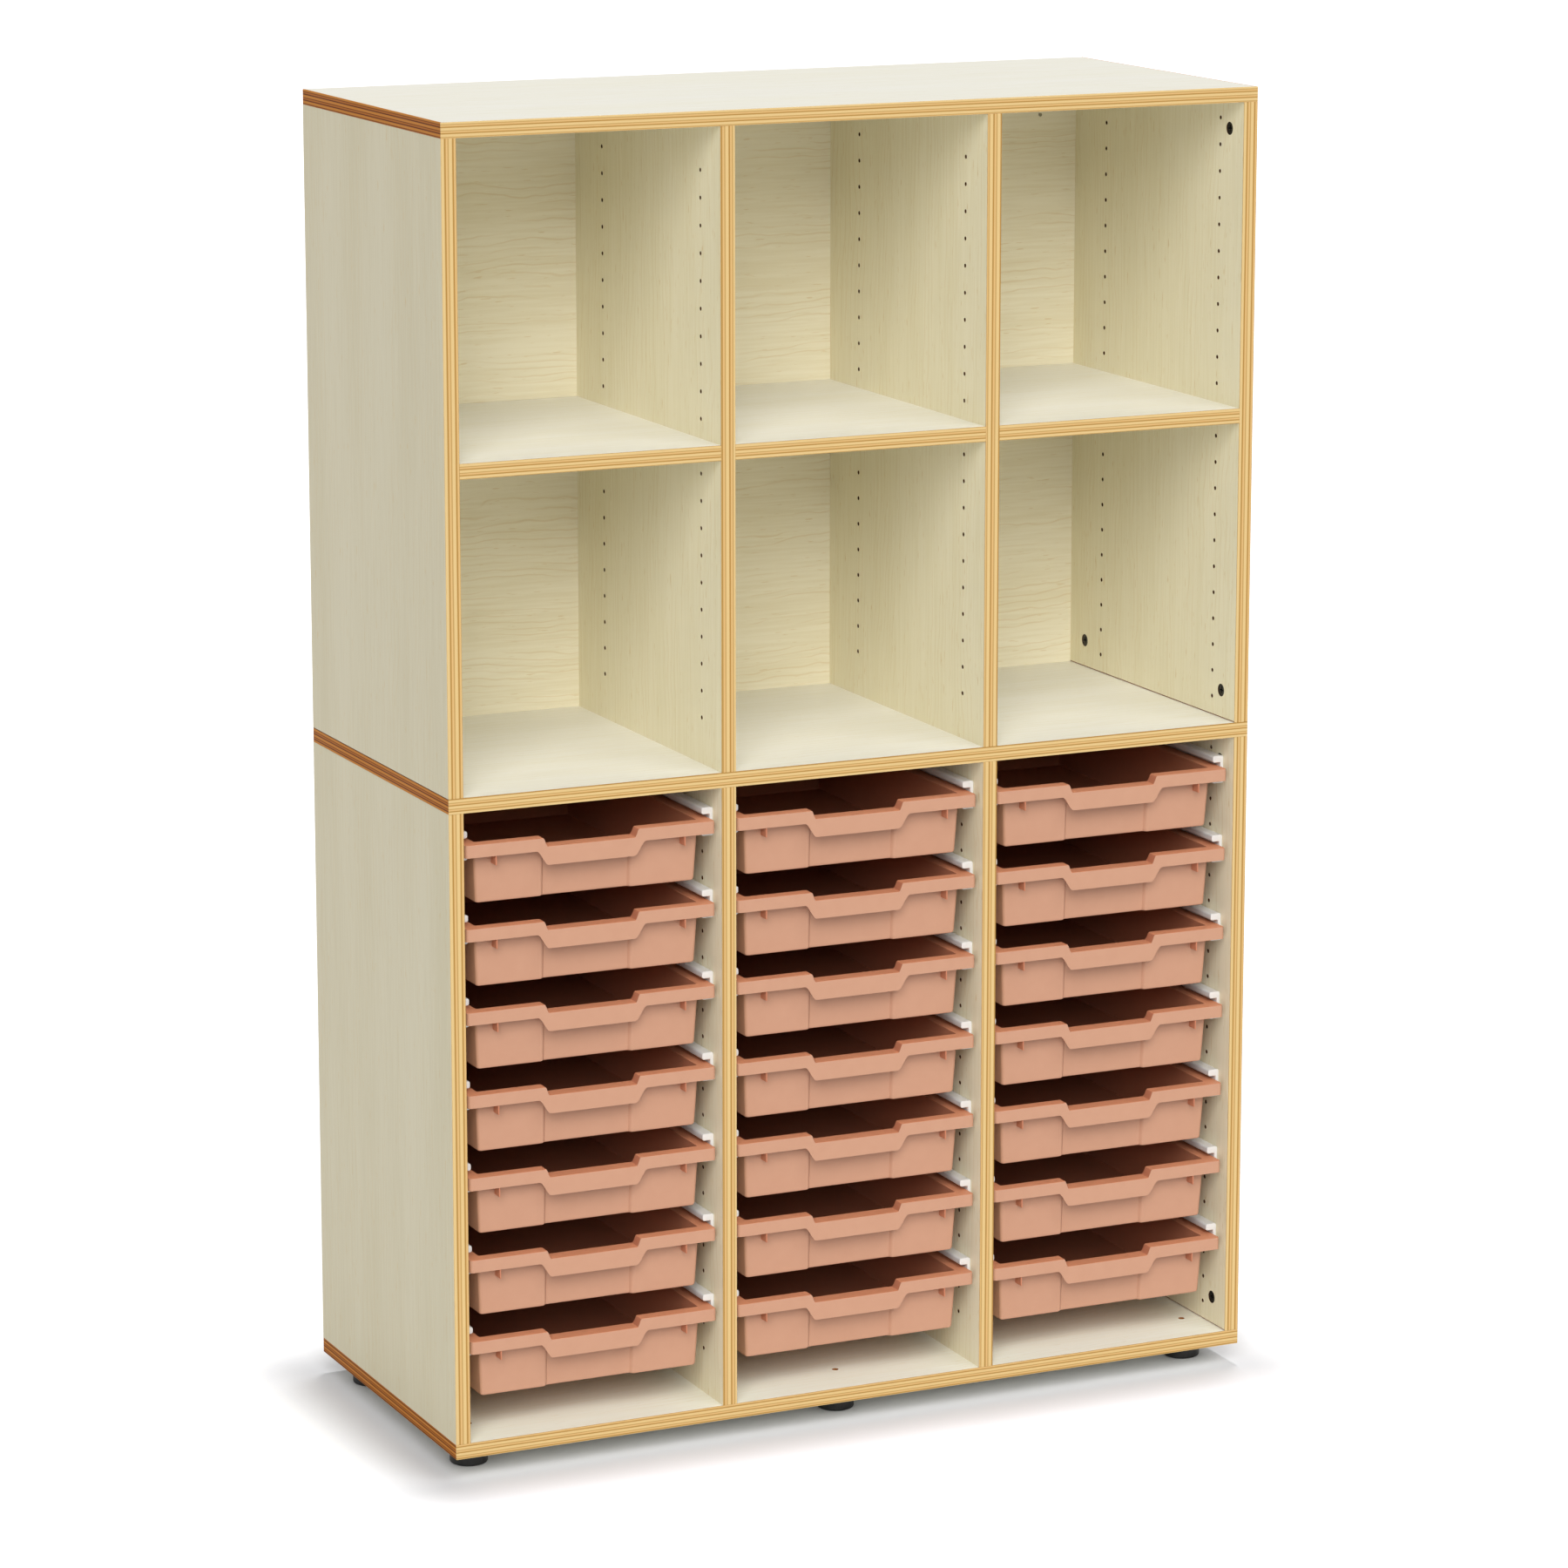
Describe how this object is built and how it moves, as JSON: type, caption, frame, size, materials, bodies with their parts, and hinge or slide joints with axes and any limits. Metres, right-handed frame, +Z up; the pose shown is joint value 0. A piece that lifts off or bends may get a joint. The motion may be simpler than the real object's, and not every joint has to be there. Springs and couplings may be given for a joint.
{
  "type": "classroom tray storage unit",
  "caption": "Tall open storage cabinet on levelling feet: shelved compartments above, and columns of moulded pull-out trays hung in plastic runners below.",
  "frame": {"origin": "centre of the cabinet's footprint, on the floor under the levelling feet", "axes": "+X to the right as seen from the front, +Y to the back, +Z up"},
  "size_m": [1.038, 0.445, 1.582],
  "materials": {
    "maple_board": "satin",
    "striped_edging": "satin",
    "tray_plastic": "satin",
    "runner_plastic": "matte",
    "foot_plastic": "matte"
  },
  "bodies": {
    "cabinet": {"top_board": "maple_board", "middle_board": "maple_board", "base_board": "maple_board", "upper_left_end": "maple_board", "upper_left_divider": "maple_board", "upper_right_divider": "maple_board", "upper_right_end": "maple_board", "lower_left_end": "maple_board", "lower_left_divider": "maple_board", "lower_right_divider": "maple_board", "lower_right_end": "maple_board", "upper_back": "maple_board", "lower_back": "maple_board", "shelf_left": "maple_board", "shelf_centre": "maple_board", "shelf_right": "maple_board", "board_edging": "striped_edging", "upright_edging": "striped_edging", "shelf_edging": "striped_edging", "runners_left_bay_left": "runner_plastic", "runners_left_bay_right": "runner_plastic", "runners_centre_bay_left": "runner_plastic", "runners_centre_bay_right": "runner_plastic", "runners_right_bay_left": "runner_plastic", "runners_right_bay_right": "runner_plastic"},
    "tray_left_1": {"tray_left_1": "tray_plastic"},
    "tray_left_2": {"tray_left_2": "tray_plastic"},
    "tray_left_3": {"tray_left_3": "tray_plastic"},
    "tray_left_4": {"tray_left_4": "tray_plastic"},
    "tray_left_5": {"tray_left_5": "tray_plastic"},
    "tray_left_6": {"tray_left_6": "tray_plastic"},
    "tray_left_7": {"tray_left_7": "tray_plastic"},
    "tray_centre_1": {"tray_centre_1": "tray_plastic"},
    "tray_centre_2": {"tray_centre_2": "tray_plastic"},
    "tray_centre_3": {"tray_centre_3": "tray_plastic"},
    "tray_centre_4": {"tray_centre_4": "tray_plastic"},
    "tray_centre_5": {"tray_centre_5": "tray_plastic"},
    "tray_centre_6": {"tray_centre_6": "tray_plastic"},
    "tray_centre_7": {"tray_centre_7": "tray_plastic"},
    "tray_right_1": {"tray_right_1": "tray_plastic"},
    "tray_right_2": {"tray_right_2": "tray_plastic"},
    "tray_right_3": {"tray_right_3": "tray_plastic"},
    "tray_right_4": {"tray_right_4": "tray_plastic"},
    "tray_right_5": {"tray_right_5": "tray_plastic"},
    "tray_right_6": {"tray_right_6": "tray_plastic"},
    "tray_right_7": {"tray_right_7": "tray_plastic"},
    "foot_front_left": {"foot_front_left": "foot_plastic"},
    "foot_front_centre": {"foot_front_centre": "foot_plastic"},
    "foot_front_right": {"foot_front_right": "foot_plastic"},
    "foot_back_left": {"foot_back_left": "foot_plastic"},
    "foot_back_centre": {"foot_back_centre": "foot_plastic"},
    "foot_back_right": {"foot_back_right": "foot_plastic"}
  },
  "joints": [
    {"name": "tray_left_1_pull", "type": "slide", "parent": "cabinet", "child": "tray_left_1", "axis": [0, -1, 0], "range_m": [0, 0.3]},
    {"name": "tray_left_2_pull", "type": "slide", "parent": "cabinet", "child": "tray_left_2", "axis": [0, -1, 0], "range_m": [0, 0.3]},
    {"name": "tray_left_3_pull", "type": "slide", "parent": "cabinet", "child": "tray_left_3", "axis": [0, -1, 0], "range_m": [0, 0.3]},
    {"name": "tray_left_4_pull", "type": "slide", "parent": "cabinet", "child": "tray_left_4", "axis": [0, -1, 0], "range_m": [0, 0.3]},
    {"name": "tray_left_5_pull", "type": "slide", "parent": "cabinet", "child": "tray_left_5", "axis": [0, -1, 0], "range_m": [0, 0.3]},
    {"name": "tray_left_6_pull", "type": "slide", "parent": "cabinet", "child": "tray_left_6", "axis": [0, -1, 0], "range_m": [0, 0.3]},
    {"name": "tray_left_7_pull", "type": "slide", "parent": "cabinet", "child": "tray_left_7", "axis": [0, -1, 0], "range_m": [0, 0.3]},
    {"name": "tray_centre_1_pull", "type": "slide", "parent": "cabinet", "child": "tray_centre_1", "axis": [0, -1, 0], "range_m": [0, 0.3]},
    {"name": "tray_centre_2_pull", "type": "slide", "parent": "cabinet", "child": "tray_centre_2", "axis": [0, -1, 0], "range_m": [0, 0.3]},
    {"name": "tray_centre_3_pull", "type": "slide", "parent": "cabinet", "child": "tray_centre_3", "axis": [0, -1, 0], "range_m": [0, 0.3]},
    {"name": "tray_centre_4_pull", "type": "slide", "parent": "cabinet", "child": "tray_centre_4", "axis": [0, -1, 0], "range_m": [0, 0.3]},
    {"name": "tray_centre_5_pull", "type": "slide", "parent": "cabinet", "child": "tray_centre_5", "axis": [0, -1, 0], "range_m": [0, 0.3]},
    {"name": "tray_centre_6_pull", "type": "slide", "parent": "cabinet", "child": "tray_centre_6", "axis": [0, -1, 0], "range_m": [0, 0.3]},
    {"name": "tray_centre_7_pull", "type": "slide", "parent": "cabinet", "child": "tray_centre_7", "axis": [0, -1, 0], "range_m": [0, 0.3]},
    {"name": "tray_right_1_pull", "type": "slide", "parent": "cabinet", "child": "tray_right_1", "axis": [0, -1, 0], "range_m": [0, 0.3]},
    {"name": "tray_right_2_pull", "type": "slide", "parent": "cabinet", "child": "tray_right_2", "axis": [0, -1, 0], "range_m": [0, 0.3]},
    {"name": "tray_right_3_pull", "type": "slide", "parent": "cabinet", "child": "tray_right_3", "axis": [0, -1, 0], "range_m": [0, 0.3]},
    {"name": "tray_right_4_pull", "type": "slide", "parent": "cabinet", "child": "tray_right_4", "axis": [0, -1, 0], "range_m": [0, 0.3]},
    {"name": "tray_right_5_pull", "type": "slide", "parent": "cabinet", "child": "tray_right_5", "axis": [0, -1, 0], "range_m": [0, 0.3]},
    {"name": "tray_right_6_pull", "type": "slide", "parent": "cabinet", "child": "tray_right_6", "axis": [0, -1, 0], "range_m": [0, 0.3]},
    {"name": "tray_right_7_pull", "type": "slide", "parent": "cabinet", "child": "tray_right_7", "axis": [0, -1, 0], "range_m": [0, 0.3]},
    {"name": "foot_front_left_screw", "type": "slide", "parent": "cabinet", "child": "foot_front_left", "axis": [0, 0, -1], "range_m": [0, 0.01]},
    {"name": "foot_front_centre_screw", "type": "slide", "parent": "cabinet", "child": "foot_front_centre", "axis": [0, 0, -1], "range_m": [0, 0.01]},
    {"name": "foot_front_right_screw", "type": "slide", "parent": "cabinet", "child": "foot_front_right", "axis": [0, 0, -1], "range_m": [0, 0.01]},
    {"name": "foot_back_left_screw", "type": "slide", "parent": "cabinet", "child": "foot_back_left", "axis": [0, 0, -1], "range_m": [0, 0.01]},
    {"name": "foot_back_centre_screw", "type": "slide", "parent": "cabinet", "child": "foot_back_centre", "axis": [0, 0, -1], "range_m": [0, 0.01]},
    {"name": "foot_back_right_screw", "type": "slide", "parent": "cabinet", "child": "foot_back_right", "axis": [0, 0, -1], "range_m": [0, 0.01]}
  ]
}
